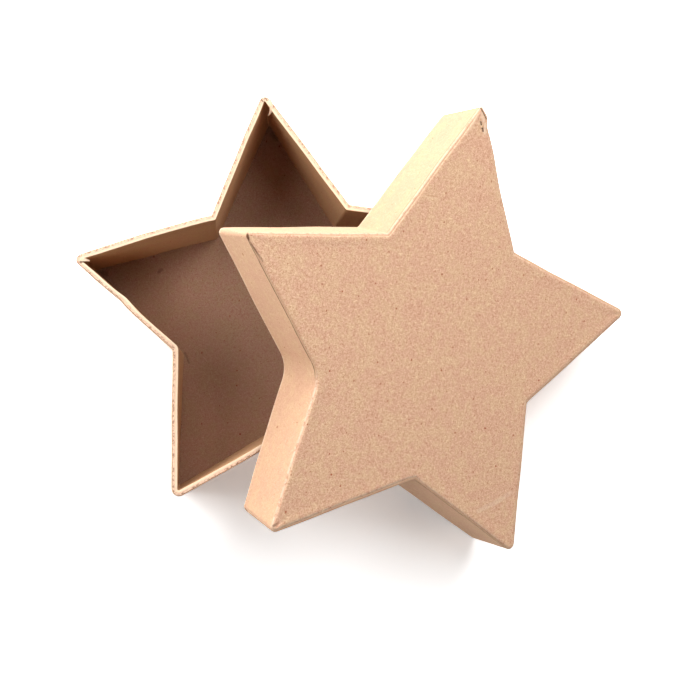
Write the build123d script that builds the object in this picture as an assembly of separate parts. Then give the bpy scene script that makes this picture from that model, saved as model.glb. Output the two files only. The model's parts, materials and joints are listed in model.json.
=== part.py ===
from build123d import *
from math import acos, atan2, cos, degrees, hypot, pi, radians, sin, tan
import os

# Papier-mache star box: a five-pointed tray of kraft-covered board, with its lift-off lid leaning on it.
#
# Millimetres, +Z up. The origin is the centre of the tray's underside, on the table, and one point of the tray
# lies along +Y. Each half is a strip of board folded round a star, a star panel let into one end of it, a sheet of
# kraft paper wrapped round the strip and turned over its edge in ten flaps, and a star of kraft over the flaps.
# The lid stands on two of its points beside the tray. Its top comes down on a third point, the tray's, and one of
# its walls lies against another point of the tray.

# Board and paper
board = 1.6
kraft = 0.3

# Star outline, the same for both halves
points = 5
tip_angle = 60.0
inner_tip_radius = 0.4
notch_radius = 3.0

# Tray: the edge distance runs from the centre to the outside of each of the ten walls
tray_edge = 35.9
tray_height = 36.8

# Lid: it slips over the tray with this much room at every wall
lid_clearance = 1.2
lid_depth = 22.7

# Paper work: width of the flaps, how far the star sheet stays inside the walls, the rounding where paper turns
# over the board, how far the wrap stops short of the open rim, the slit between flaps, and the wrap's lap
turn_over = 3.0
face_inset = 0.8
fold_round = 0.5
rim_setback = 0.6
flap_slit = 0.3
lap = 8.0

# The strip's two ends meet with this gap, at the point of its star in this direction, anticlockwise from the first
strip_gap = 0.25
tray_seam_angle = 0.0
lid_seam_angle = 144.0

# The leaning lid: the direction in which it slopes down, its lowest notch, anticlockwise from its first point, and
# how far that way from the tray's centre the line between the two points beside that notch lies on the table
lean_angle = -32.5
lowest_notch_angle = 252.0
floor_line = 94.5

# The tray's points that it lies against, from above and from the side, the play there, and how its slope is searched
propping_point = 3
side_point = 4
resting_gap = 0.1
steepest_angle = 60.0
finest_angle = 0.05

# Worked-out sizes
wall = board + kraft
outer_tip_radius = inner_tip_radius + wall
tip_half = radians(tip_angle / 2)
step = 360 / points
notch_half_turn = pi / 2 - tip_half - radians(step / 2)
lid_edge = tray_edge + lid_clearance + wall
lid_cover = board + 2 * kraft
board_tip_radius = inner_tip_radius + board
lowest_notch = 90 + lowest_notch_angle


def point_azimuth(index):
    """Direction of one point of the star, in degrees."""
    return 90 + step * index


def point_distance(edge):
    """Distance from the centre to where two walls would meet in a sharp point."""
    return edge / sin(tip_half)


def notch_distance(edge):
    """Distance from the centre to where two walls would meet in a sharp notch."""
    return edge / cos(notch_half_turn)


def fold_axis_distance(edge):
    """Distance from the centre to the axis about which a point is folded."""
    return point_distance(edge - outer_tip_radius)


def star(edge, inset=0.0):
    """Star face, by the inset inside a wall's outer surface, its corners rounded about the same axes."""
    corners = []
    for index in range(points):
        for distance, azimuth in (
            (point_distance(edge - inset), radians(point_azimuth(index))),
            (notch_distance(edge - inset), radians(point_azimuth(index + 0.5))),
        ):
            corners.append((distance * cos(azimuth), distance * sin(azimuth)))
    face = make_face(Polyline(*corners, close=True))
    notches = face.vertices().sort_by(lambda corner: corner.center().length)[:points]
    face = fillet(notches, notch_radius + inset)
    if inset < outer_tip_radius:
        tips = face.vertices().sort_by(lambda corner: -corner.center().length)[:points]
        face = fillet(tips, outer_tip_radius - inset)
    return face


def slab(edge, inset, low, high):
    """Star-shaped block between two heights."""
    return Pos(0, 0, low) * extrude(star(edge, inset), high - low)


def folded_strip(edge, low, high, seam_angle):
    """Strip of board folded round the star, its two ends meeting in a fine gap at one point."""
    strip = slab(edge, kraft, low, high) - slab(edge, wall, low, high)
    inner, outer = notch_distance(edge), point_distance(edge)
    gap = Pos((inner + outer) / 2, 0, (low + high) / 2) * Box(outer - inner, strip_gap, high - low)
    return strip - Rot(0, 0, point_azimuth(0) + seam_angle) * gap


def flap_cuts(edge, low, high):
    """Cuts that part the ten flaps: a fine slit along each point, and a wedge that opens at each notch."""
    height = high - low
    slit_length = fold_axis_distance(edge)
    slit = Pos(slit_length / 2, 0, low + height / 2) * Box(slit_length, flap_slit, height)
    apex = notch_distance(edge) - fold_round
    depth = 2 * turn_over
    half_width = depth * tan(notch_half_turn)
    outline = Polyline((apex, 0), (apex - depth, half_width), (apex - depth, -half_width), close=True)
    wedge = Pos(0, 0, low) * extrude(make_face(outline), height)
    cuts = []
    for index in range(points):
        cuts.append(Rot(0, 0, point_azimuth(index)) * slit)
        cuts.append(Rot(0, 0, point_azimuth(index + 0.5)) * wedge)
    return cuts


def lap_patch(edge, low, high, seam_angle):
    """The wrap's last stretch, which lies double over its first, on the wall beside the seam."""
    normal = point_azimuth(0) + seam_angle + 90 - tip_angle / 2
    along = outer_tip_radius + lap / 2 - edge / tan(tip_half)
    patch = Pos(edge + kraft / 2, along, (low + high) / 2) * Box(kraft, lap, high - low)
    return Rot(0, 0, normal) * patch


def kraft_wrap(edge, low, high, seam_angle):
    """Kraft paper round the strip, turned over its upper edge and cut into flaps there."""
    block = slab(edge, 0, low, high)
    skin = fillet(block.faces().sort_by(Axis.Z)[-1].edges(), fold_round)
    skin -= slab(edge, kraft, low, high - kraft) + slab(edge, turn_over, high - kraft, high)
    skin -= flap_cuts(edge, high - kraft, high)
    return skin + lap_patch(edge, low, high - fold_round, seam_angle)


def stepped_sheet(edge, board_top):
    """Star of kraft pasted on the board, stepping up over the flaps along its edge."""
    flap_top = board_top + kraft
    sheet = slab(edge, face_inset, flap_top, flap_top + kraft) + slab(edge, turn_over, board_top, flap_top)
    return sheet - slab(edge, turn_over + kraft, flap_top, flap_top + kraft)


def pressed_panel(edge, low, high):
    """Star of board between the strip's walls, pressed in by a paper's thickness where the flaps cross it."""
    band = slab(edge, 0, high - kraft, high) - slab(edge, turn_over, high - kraft, high)
    return slab(edge, wall, low, high) - band


def upside_down(part, height):
    """The part turned over, so that what was at the given height stands at zero, its first point still at +Y."""
    return Pos(0, 0, height) * Rot(180, 0, 0) * Rot(0, 0, 180) * part


def make_tray():
    """The tray: made bottom up, as it is covered, and then turned over. Its underside is pressed flat."""
    flap_top = tray_height - kraft
    board_top = flap_top - kraft
    pieces = {
        "tray_wall": folded_strip(tray_edge, 0, board_top, tray_seam_angle),
        "tray_floor": pressed_panel(tray_edge, flap_top - board, flap_top),
        "tray_wrap": kraft_wrap(tray_edge, rim_setback, flap_top, tray_seam_angle),
        "tray_base_sheet": slab(tray_edge, face_inset, flap_top, tray_height),
    }
    return {name: upside_down(piece, tray_height) for name, piece in pieces.items()}


def make_lid():
    """The lid, standing on its rim about the star's centre. Its face sheet steps up over the flaps."""
    flap_top = lid_depth - kraft
    board_top = flap_top - kraft
    return {
        "lid_wall": folded_strip(lid_edge, 0, board_top, lid_seam_angle),
        "lid_top": slab(lid_edge, wall, board_top - board, board_top),
        "lid_wrap": kraft_wrap(lid_edge, rim_setback, flap_top, lid_seam_angle),
        "lid_face_sheet": stepped_sheet(lid_edge, board_top),
    }


def lower_reach():
    """Distance from the lid's centre to the line on which its two lower points stand."""
    return fold_axis_distance(lid_edge) * cos(radians(step / 2)) + board_tip_radius


def tilt_on_point():
    """Tilt at which the underside of the lid's top lies on the tray's propping point."""
    along = cos(radians(point_azimuth(propping_point) - lean_angle))
    run = floor_line - fold_axis_distance(tray_edge) * along - board_tip_radius
    under_top = lid_depth - lid_cover - resting_gap
    return degrees(acos(under_top / hypot(run, tray_height)) - atan2(run, tray_height))


def shift_against_point(tilt):
    """Place of the lid across its slope at which the inside of a wall lies against the tray's side point.

    The upright edge of that point runs through the plane of the lid's rim as an ellipse, stretched down the slope.
    """
    slope = radians(tilt)
    azimuth = radians(point_azimuth(side_point) - lean_angle)
    axis = fold_axis_distance(tray_edge)
    down = lower_reach() - (floor_line - axis * cos(azimuth)) / cos(slope)
    normal = radians(point_azimuth(0) - 90 + tip_angle / 2 - lowest_notch)
    half_width = outer_tip_radius * hypot(cos(normal) / cos(slope), sin(normal))
    room = lid_edge - wall - resting_gap - half_width - down * cos(normal)
    return axis * sin(azimuth) - room / sin(normal)


def leaning(tilt):
    """Place of a lid that slopes down by the tilt, the board of its two lower points just on the table."""
    on_table = Rot(0, 0, lean_angle) * Pos(floor_line, shift_against_point(tilt), 0)
    return on_table * Rot(0, tilt, 0) * Pos(-lower_reach(), 0, 0) * Rot(0, 0, -lowest_notch)


def settled_tilt():
    """Tilt at which the lid, coming down about its two lower points, is first stopped by the tray."""
    tray_cup = slab(tray_edge, 0, 0, tray_height - rim_setback) + slab(tray_edge, kraft, 0, tray_height)
    tray_cup -= slab(tray_edge, wall, wall, tray_height)
    lid_cup = slab(lid_edge, 0, rim_setback, lid_depth) + slab(lid_edge, kraft, 0, lid_depth)
    lid_cup -= slab(lid_edge, wall, 0, lid_depth - lid_cover)
    stopped, clear = tilt_on_point(), steepest_angle
    tilt = stopped
    while clear - stopped > finest_angle:
        if tray_cup.intersect(leaning(tilt) * lid_cup):
            stopped = tilt
        else:
            clear = tilt
        tilt = (clear + stopped) / 2
    return clear


nodes = make_tray()
lid_place = leaning(settled_tilt())
for name, piece in make_lid().items():
    nodes[name] = lid_place * piece

os.makedirs("parts", exist_ok=True)
for name, piece in nodes.items():
    export_step(piece, f"parts/{name}.step")
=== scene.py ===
"""Looks of a star-shaped papier-mache box: an open tray, with its lift-off lid leaning on it.

Every layer of the box is a surface worked out with numpy from one outline, the walk round a five-pointed
star. A strip of board and the kraft paper round it are sections carried along that walk. A star panel or
sheet is a section carried from the middle of the star to its edge and back. Lengths are millimetres until a
mesh is made.
"""
from __future__ import annotations

import json
import logging
import math
from collections.abc import Callable, Sequence
from dataclasses import dataclass
from enum import Enum

import bpy
import numpy as np
from bpy.types import Material, Mesh, Node, NodeSocket, Object, World
from mathutils import Matrix, Vector

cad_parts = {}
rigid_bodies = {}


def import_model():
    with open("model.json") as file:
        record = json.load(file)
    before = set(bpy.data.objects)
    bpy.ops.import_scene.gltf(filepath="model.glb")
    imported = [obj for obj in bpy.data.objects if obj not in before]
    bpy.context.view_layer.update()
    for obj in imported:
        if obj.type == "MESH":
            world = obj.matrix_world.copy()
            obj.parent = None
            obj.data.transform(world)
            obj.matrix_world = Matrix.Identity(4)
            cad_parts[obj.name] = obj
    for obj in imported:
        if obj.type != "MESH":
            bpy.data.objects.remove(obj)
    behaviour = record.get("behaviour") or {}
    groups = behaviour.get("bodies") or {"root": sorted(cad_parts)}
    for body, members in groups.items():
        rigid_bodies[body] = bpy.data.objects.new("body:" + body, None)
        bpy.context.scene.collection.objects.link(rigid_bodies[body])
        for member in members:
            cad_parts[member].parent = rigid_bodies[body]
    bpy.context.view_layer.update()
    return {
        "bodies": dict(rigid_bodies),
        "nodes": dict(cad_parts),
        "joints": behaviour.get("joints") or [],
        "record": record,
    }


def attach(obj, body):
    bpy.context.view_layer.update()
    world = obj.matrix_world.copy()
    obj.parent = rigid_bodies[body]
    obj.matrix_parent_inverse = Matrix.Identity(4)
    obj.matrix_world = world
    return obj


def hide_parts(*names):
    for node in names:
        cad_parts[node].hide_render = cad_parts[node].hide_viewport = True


MM = 0.001
WALK_MAP = "paper"
RIM_MARK = "cut_edge"
PLY_MARK = "ply"
WEAR_AND_HIGHLIGHT_MARK = "wear_and_highlight"
FOLD_SHADE_MARK = "fold_shade_line"
TINY = 1e-9
ROUNDING_PLACES = 6
FLAP_START = 0.4
TRAY_DEPTH = 36.8
LID_DEPTH = 22.7

log = logging.getLogger("star_box")


def directions(azimuth_deg: np.ndarray) -> np.ndarray:
    """Unit vectors in the star's plane: the cosine and sine of each azimuth."""
    azimuth = np.radians(azimuth_deg)
    return np.stack([np.cos(azimuth), np.sin(azimuth)], axis=-1)


def smooth_step(value: np.ndarray, low: float, high: float) -> np.ndarray:
    """Share from 0 at low to 1 at high, along 3 t squared minus 2 t cubed."""
    share = np.clip((value - low) / (high - low), 0.0, 1.0)
    return share * share * (3.0 - 2.0 * share)


def bell(value: np.ndarray, centre: float, width: float) -> np.ndarray:
    """Bell curve of height 1: e to the minus squared distance from the centre over the squared width."""
    return np.exp(-(((value - centre) / width) ** 2))


def strides(places: np.ndarray) -> np.ndarray:
    """Distance from each place of a line to the next."""
    return np.linalg.norm(np.diff(places, axis=0), axis=1)


def travelled_along(places: np.ndarray) -> np.ndarray:
    """Distance travelled along a line at each of its places."""
    return np.append(0.0, np.cumsum(strides(places)))


def filled_in(lines: Sequence[np.ndarray], spacing: float) -> list[np.ndarray]:
    """Divides each stretch of a line evenly, so that no two places are further apart than the spacing.

    Args:
        lines: the line's places, and whatever else goes with them, each as rows of two numbers.
        spacing: largest distance between places.

    Returns:
        The same lists, with the rows in between.
    """
    parts = np.maximum(1, np.ceil(strides(lines[0]) / spacing)).astype(int)
    start = np.repeat(np.arange(len(parts)), parts)
    share = np.arange(len(start)) - np.repeat(np.cumsum(parts) - parts, parts)
    numbers = np.append(start + share / parts[start], len(parts))
    known = np.arange(len(parts) + 1)
    return [
        np.stack([np.interp(numbers, known, line[:, axis]) for axis in (0, 1)], axis=1) for line in lines
    ]


@dataclass(frozen=True)
class Walk:
    """The walk round the outer outline, anticlockwise from one point of the star back to it.

    The last step repeats the first. corner is 0 at the star's upper point, 1 at the notch after it, and so
    on, and it goes on past 10 where the walk begins at another point.
    """

    places: np.ndarray
    outwards: np.ndarray
    travelled: np.ndarray
    corner: np.ndarray
    edge: float

    def inset(self, depth: np.ndarray | float) -> np.ndarray:
        """Outline moved inwards by a depth, each place by that much of its own outward vector."""
        return self.places - np.asarray(depth, float)[..., None] * self.outwards

    def by_wall(self, values: Sequence[float], blend: float = 0.06) -> np.ndarray:
        """Values of the ten walls at each place, changing over softly at the corners."""
        number = np.arange(len(values))
        ends = np.concatenate([number + blend, number + 1.0 - blend])
        return np.interp(self.corner, ends, np.tile(np.array(values, float), 2), period=len(values))

    def ring(self, depth: float, fold_limit: float = 2.0) -> np.ndarray:
        """Outline at one depth of a flat star.

        Down to the fold limit each place moves by its outward vector. Deeper, the outline at that limit
        shrinks towards the middle, which keeps its walls at the same distance from the edge all round.
        """
        if depth <= fold_limit:
            return self.inset(depth)
        return self.inset(fold_limit) * (self.edge - depth) / (self.edge - fold_limit)


@dataclass(frozen=True)
class StarOutline:
    """Five points and five notches, joined by ten walls at one distance from the middle.

    Points are arcs about axes inside the star, notches are arcs about axes outside it. Board is bent at a
    point, so its layers turn about one axis there. It is scored at a notch, so its layers keep one radius
    there.
    """

    edge: float
    notch_radii: tuple[float, ...]
    tip_angle: float = 60.0
    tip_radius: float = 2.3
    points: int = 5

    @property
    def step(self) -> float:
        """Angle from one point to the next, in degrees."""
        return 360.0 / self.points

    @property
    def wall_turn(self) -> float:
        """Angle between a point's direction and the normal of a wall beside it, in degrees."""
        return 90.0 - self.tip_angle / 2.0

    def sharp_corners(self) -> np.ndarray:
        """Points and notches in turn, where the walls would meet without roundings."""
        azimuth = 90.0 + self.step / 2.0 * np.arange(2 * self.points)
        tip = self.edge / math.cos(math.radians(self.wall_turn))
        notch = self.edge / math.cos(math.radians(self.wall_turn - self.step / 2.0))
        reach = np.where(np.arange(2 * self.points) % 2 == 0, tip, notch)
        return reach[:, None] * directions(azimuth)

    def wall_normals(self) -> np.ndarray:
        """Outward normals of the ten walls, each after the corner of the same number."""
        number = np.arange(2 * self.points)
        point = 90.0 + self.step * ((number + 1) // 2)
        return directions(point + np.where(number % 2 == 0, self.wall_turn, -self.wall_turn))

    def walk(self, spacing: float = 0.8, first: int = 0, seam: float = 0.0) -> Walk:
        """Places along the outline.

        An arc is its axis plus its radius times the unit vector of each azimuth, and a wall runs straight
        between two arcs.

        Args:
            spacing: largest distance between places on a wall.
            first: number of the point at which the walk begins.
            seam: half of the gap that is left open at that point.

        Returns:
            The walk, with its outward vectors and the distance travelled.
        """
        half_seam = math.degrees(seam / self.tip_radius)
        notch_half = self.wall_turn - self.step / 2.0
        mitre = 1.0 / math.cos(math.radians(notch_half))
        tip_axis = (self.edge - self.tip_radius) / math.cos(math.radians(self.wall_turn))
        tip_places, notch_places = 11, 13
        places, outwards = [], []

        def arc(start: float, end: float, axis: np.ndarray, radius: float, count: int) -> np.ndarray:
            turned = directions(np.linspace(start, end, count))
            places.append(axis + radius * turned)
            return turned

        for index in range(self.points):
            begin = 90.0 + self.step * (first + index)
            end = begin + self.step
            middle = directions(np.array(begin + self.step / 2.0))
            tip = tip_axis * directions(np.array(begin))
            next_tip = tip_axis * directions(np.array(end))
            notch_radius = self.notch_radii[(first + index) % self.points]
            notch = (self.edge + notch_radius) * mitre * middle
            opened = half_seam if index == 0 else 0.0
            closed = half_seam if index == self.points - 1 else 0.0
            leaving, arriving = begin + self.wall_turn, end - self.wall_turn
            outwards.append(arc(begin + opened, leaving, tip, self.tip_radius, tip_places))
            arc(leaving, arriving, notch, -notch_radius, notch_places)
            outwards.append(np.tile(mitre * middle, (notch_places, 1)))
            outwards.append(arc(arriving, end - closed, next_tip, self.tip_radius, tip_places))
        return self._evened(np.concatenate(places), np.concatenate(outwards), spacing, first)

    def _evened(self, places: np.ndarray, outwards: np.ndarray, spacing: float, first: int) -> Walk:
        """The walk through these places, without repeated ones, and filled in on the straight walls."""
        keep = np.append(True, strides(places) > TINY)
        filled, turned = filled_in((places[keep], outwards[keep]), spacing)
        travelled = travelled_along(filled)
        corners = np.linspace(0.0, travelled[-1], 2 * self.points + 1)
        corner = np.interp(travelled, corners, 2 * first + np.arange(2 * self.points + 1))
        return Walk(filled, turned, travelled, corner, self.edge)


@dataclass(frozen=True)
class Bend:
    """A soft bend in one wall: a bell curve along it, this far outwards at its middle.

    Place and width are shares of the wall's length. At the rim and at the panel, that much of it is there.
    """

    wall: int
    place: float
    width: float
    outwards: float
    at_rim: float = 1.0
    at_panel: float = 0.0


@dataclass(frozen=True)
class HandShape:
    """How one hand-made half departs from the true star.

    Each corner has its own shift at the panel and at the rim. Between two corners the shift is shared out
    by the two numbers that give a place as a sum of those corners' places, so the walls stay straight and
    the layers stay together. Walls then bow by a parabola, and bend softly where they were pressed. The
    roundness of a point is the share of its rounding that is left. A corner's trim is what its rim lacks in
    height.
    """

    outline: StarOutline
    panel_height: float
    rim_height: float
    panel_shift: tuple[tuple[float, float], ...]
    rim_shift: tuple[tuple[float, float], ...]
    panel_bow: tuple[float, ...]
    rim_bow: tuple[float, ...]
    panel_roundness: tuple[float, ...] = (1.0,) * 5
    rim_roundness: tuple[float, ...] = (1.0,) * 5
    rim_trim: tuple[float, ...] = (0.0,) * 10
    bends: tuple[Bend, ...] = ()
    ripple: float = 0.1
    fold_core: float = 2.0
    fold_reach: float = 10.0
    fold_around: float = 12.0

    def _sharpened(self, places: np.ndarray, rim_share: np.ndarray) -> np.ndarray:
        """Folds the points more sharply.

        Near a point, places shrink towards the place where its walls would meet, by the share of its
        rounding that is left, so a round fold becomes a smaller one and the walls stay on their lines.
        """
        flat = places[:, :2].copy()
        tips = self.outline.sharp_corners()[::2]
        ways = tips / np.linalg.norm(tips, axis=1)[:, None]
        for tip, way, at_panel, at_rim in zip(tips, ways, self.panel_roundness, self.rim_roundness):
            inward = (tip - flat) @ way
            left = at_panel + (at_rim - at_panel) * rim_share
            factor = left + (1.0 - left) * smooth_step(inward, self.fold_core, self.fold_reach)
            near = (inward < self.fold_reach) & (np.linalg.norm(flat - tip, axis=1) < self.fold_around)
            flat = np.where(near[:, None], tip + factor[:, None] * (flat - tip), flat)
        return flat

    def apply(self, places: np.ndarray) -> np.ndarray:
        """Moves places of shape (n, 3) from the true star to the hand-made one.

        A place is alpha times the corner before it plus beta times the corner after it. The share towards
        the rim blends the two sets of shifts. The bow is 4 s (1 - s) with s equal to beta over alpha plus
        beta.
        """
        rim_share = np.clip(
            (places[:, 2] - self.panel_height) / (self.rim_height - self.panel_height), 0.0, 1.0
        )
        places = np.concatenate([self._sharpened(places, rim_share), places[:, 2:]], axis=1)
        corners = self.outline.sharp_corners()
        following = np.roll(corners, -1, axis=0)
        turn = (np.degrees(np.arctan2(places[:, 1], places[:, 0])) - 90.0) % 360.0
        sector = (turn // (self.outline.step / 2.0)).astype(int) % len(corners)
        before, after = corners[sector], following[sector]
        area = before[:, 0] * after[:, 1] - before[:, 1] * after[:, 0]
        alpha = (places[:, 0] * after[:, 1] - places[:, 1] * after[:, 0]) / area
        beta = (before[:, 0] * places[:, 1] - before[:, 1] * places[:, 0]) / area

        def shared(by_corner: Sequence[float] | Sequence[tuple[float, float]]) -> np.ndarray:
            own = np.array(by_corner)
            return (alpha * own[sector].T + beta * np.roll(own, -1, axis=0)[sector].T).T

        shift = shared(self.panel_shift)
        shift += rim_share[:, None] * (shared(self.rim_shift) - shift)
        reach = alpha + beta
        along = beta / np.maximum(reach, 1e-6)
        fade = smooth_step(reach, 0.55, 1.0)
        panel_bow, rim_bow = (np.array(bows)[sector] for bows in (self.panel_bow, self.rim_bow))
        outwards = (panel_bow * (1.0 - rim_share) + rim_bow * rim_share) * 4.0 * along * (1.0 - along)
        for bend in self.bends:
            strength = bend.at_panel + (bend.at_rim - bend.at_panel) * rim_share
            bent = bend.outwards * strength * bell(along, bend.place, bend.width)
            outwards += (sector == bend.wall) * bent
        phase = 1.7 * sector
        wave = np.sin(5.3 * along + phase) + 0.6 * np.sin(11.9 * along + 2.3 * phase + 0.12 * places[:, 2])
        outwards += self.ripple * wave * np.sin(math.pi * along)
        moved = places.copy()
        moved[:, :2] += shift + (fade * outwards)[:, None] * self.outline.wall_normals()[sector]
        moved[:, 2] += np.sign(self.panel_height - self.rim_height) * shared(self.rim_trim) * rim_share
        return moved


@dataclass(frozen=True)
class Placement:
    """Where a finished half lies: turned by three angles, then moved with its own origin to a place."""

    heading: float = 0.0
    slope: float = 0.0
    spin: float = 0.0
    origin: tuple[float, float, float] = (0.0, 0.0, 0.0)

    def matrix(self) -> np.ndarray:
        """Rotation about the vertical by the heading, times the slope about Y, times the spin about Z."""
        turned = (
            Matrix.Rotation(math.radians(self.heading), 3, "Z")
            @ Matrix.Rotation(math.radians(self.slope), 3, "Y")
            @ Matrix.Rotation(math.radians(self.spin), 3, "Z")
        )
        return np.array(turned)

    def apply(self, places: np.ndarray) -> np.ndarray:
        """Places of the half where it lies."""
        return places @ self.matrix().T + np.array(self.origin)


@dataclass
class Sheet:
    """A grid of places, section by section, with its map and its marks.

    The shape of places is (sections, steps, 3) and that of the map (sections, steps, 2). A grid that closes
    on itself repeats its first row or column at the end. Marks have the shape (sections, steps).
    """

    places: np.ndarray
    paper_map: np.ndarray
    marks: dict[str, np.ndarray]
    closed_round: bool
    closed_across: bool

    def flat_places(self) -> np.ndarray:
        """All places as one list."""
        return self.places.reshape(-1, 3)


class PieceMaker:
    """Turns sheets into closed meshes that ride on the frame's one body."""

    def __init__(self, body: str) -> None:
        self.body = body

    def make(
        self, name: str, sheet: Sheet, slot: str, replaced: str | None, material: Material
    ) -> Object:
        """Makes one piece.

        Args:
            name: name of the piece.
            sheet: its grid.
            slot: material slot of the record that it stands for; not used.
            replaced: node of the frame that it stands for, if any.
            material: its finish.

        Returns:
            The object, riding on the body.
        """
        mesh = bpy.data.meshes.new(name)
        self._fill(mesh, sheet)
        piece = bpy.data.objects.new(name, mesh)
        bpy.context.scene.collection.objects.link(piece)
        mesh.materials.append(material)
        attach(piece, self.body)
        if replaced is not None:
            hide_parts(replaced)
        log.info("%s: %d faces", name, len(mesh.polygons))
        return piece

    def _fill(self, mesh: Mesh, sheet: Sheet) -> None:
        """Writes places, faces, the map and the marks into the mesh, with every face outwards."""
        sections, steps = sheet.places.shape[:2]
        own_sections = sections - 1 if sheet.closed_across else sections
        own_steps = steps - 1 if sheet.closed_round else steps
        row, column = np.meshgrid(np.arange(sections - 1), np.arange(steps - 1), indexing="ij")
        corner_rows = np.stack([row, row, row + 1, row + 1], axis=-1).reshape(-1, 4)
        corner_columns = np.stack([column, column + 1, column + 1, column], axis=-1).reshape(-1, 4)
        faces = (corner_rows % own_sections) * own_steps + corner_columns % own_steps
        places = sheet.places[:own_sections, :own_steps].reshape(-1, 3)
        if self._volume(places, faces) < 0.0:
            faces = faces[:, ::-1]
            corner_rows = corner_rows[:, ::-1]
            corner_columns = corner_columns[:, ::-1]
        caps = self._caps(sheet, faces, own_sections, own_steps)
        mesh.from_pydata((places * MM).tolist(), [], faces.tolist() + caps)
        mapped = sheet.paper_map[corner_rows, corner_columns].reshape(-1, 2) * MM
        for cap in caps:
            at_row, at_step = np.divmod(np.array(cap), own_steps)
            mapped = np.concatenate([mapped, sheet.paper_map[at_row, at_step] * MM])
        layer = mesh.uv_layers.new(name=WALK_MAP)
        layer.uv.foreach_set("vector", mapped.astype(np.float32).ravel())
        for mark, values in sheet.marks.items():
            attribute = mesh.attributes.new(mark, "FLOAT", "POINT")
            own = values[:own_sections, :own_steps].astype(np.float32)
            attribute.data.foreach_set("value", own.ravel())
        mesh.polygons.foreach_set("use_smooth", np.ones(len(mesh.polygons), bool))
        mesh.update()
        mesh.validate()

    @staticmethod
    def _volume(places: np.ndarray, faces: np.ndarray) -> float:
        """Signed volume: a sixth of the sum, over both triangles of each face, of a dot (b cross c)."""
        a, b, c, d = (places[faces[:, index]] for index in range(4))
        first = np.einsum("ij,ij->i", a, np.cross(b, c))
        second = np.einsum("ij,ij->i", a, np.cross(c, d))
        return float(np.sum(first + second)) / 6.0

    @staticmethod
    def _caps(sheet: Sheet, faces: np.ndarray, own_sections: int, own_steps: int) -> list[list[int]]:
        """Faces that close the two ends of a strip, or the two middles of a panel."""
        caps: list[list[int]] = []
        flipped = faces[0, 0] > faces[0, -1]
        if not sheet.closed_round:
            first = [section * own_steps for section in range(own_sections)]
            last = [section * own_steps + own_steps - 1 for section in range(own_sections)]
            caps = [first[::-1], last] if flipped else [first, last[::-1]]
        elif not sheet.closed_across:
            first = list(range(own_steps))
            last = [(own_sections - 1) * own_steps + step for step in range(own_steps)]
            caps = [first[::-1], last] if not flipped else [first, last[::-1]]
        return caps


def section_line(corners: Sequence[tuple[float, float, float]], spacing: float) -> np.ndarray:
    """Closed section as places of depth and height, with rounded corners.

    Each corner is a depth, a height and a radius. A rounding is the quadratic curve that leaves the corner
    by its radius on both sides: (1 - t) squared times the start, plus 2 t (1 - t) times the corner, plus t
    squared times the end.

    Args:
        corners: corners in turn.
        spacing: largest distance between places.

    Returns:
        Places, of which the last repeats the first.
    """
    sharp = np.array([corner[:2] for corner in corners], float)
    radius = np.array([corner[2] for corner in corners], float)
    line: list[np.ndarray] = []
    share = np.linspace(0.0, 1.0, ROUNDING_PLACES)[:, None]
    for index, corner in enumerate(sharp):
        to_before = sharp[index - 1] - corner
        to_after = sharp[(index + 1) % len(sharp)] - corner
        start = corner + to_before / np.linalg.norm(to_before) * radius[index]
        end = corner + to_after / np.linalg.norm(to_after) * radius[index]
        curve = (1 - share) ** 2 * start + 2 * share * (1 - share) * corner + share**2 * end
        line.append(curve if radius[index] > 0.0 else corner[None])
    return filled_in([np.concatenate([*line, line[0][:1]])], spacing)[0]


def arithmetic(operation: str, swapped: bool = False) -> Callable[[Num, Num | float], Num]:
    """Method that joins a number and another one by a Math node, in turn or swapped."""

    def joined(self: Num, other: Num | float) -> Num:
        return self.tree.math(operation, *((other, self) if swapped else (self, other)))

    return joined


class Num:
    """A number socket in a material, whose arithmetic adds Math nodes."""

    __add__ = __radd__ = arithmetic("ADD")
    __sub__ = arithmetic("SUBTRACT")
    __rsub__ = arithmetic("SUBTRACT", swapped=True)
    __mul__ = __rmul__ = arithmetic("MULTIPLY")
    __gt__ = arithmetic("GREATER_THAN")

    def __init__(self, tree: ShaderTree, socket: NodeSocket) -> None:
        self.tree = tree
        self.socket = socket

    def clamped(self) -> Num:
        """The number held between 0 and 1."""
        return self.tree.ramp(self, 0.0, 1.0, smooth=False)

    def size(self) -> Num:
        """The number without its sign."""
        return self.tree.math("ABSOLUTE", self)


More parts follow.
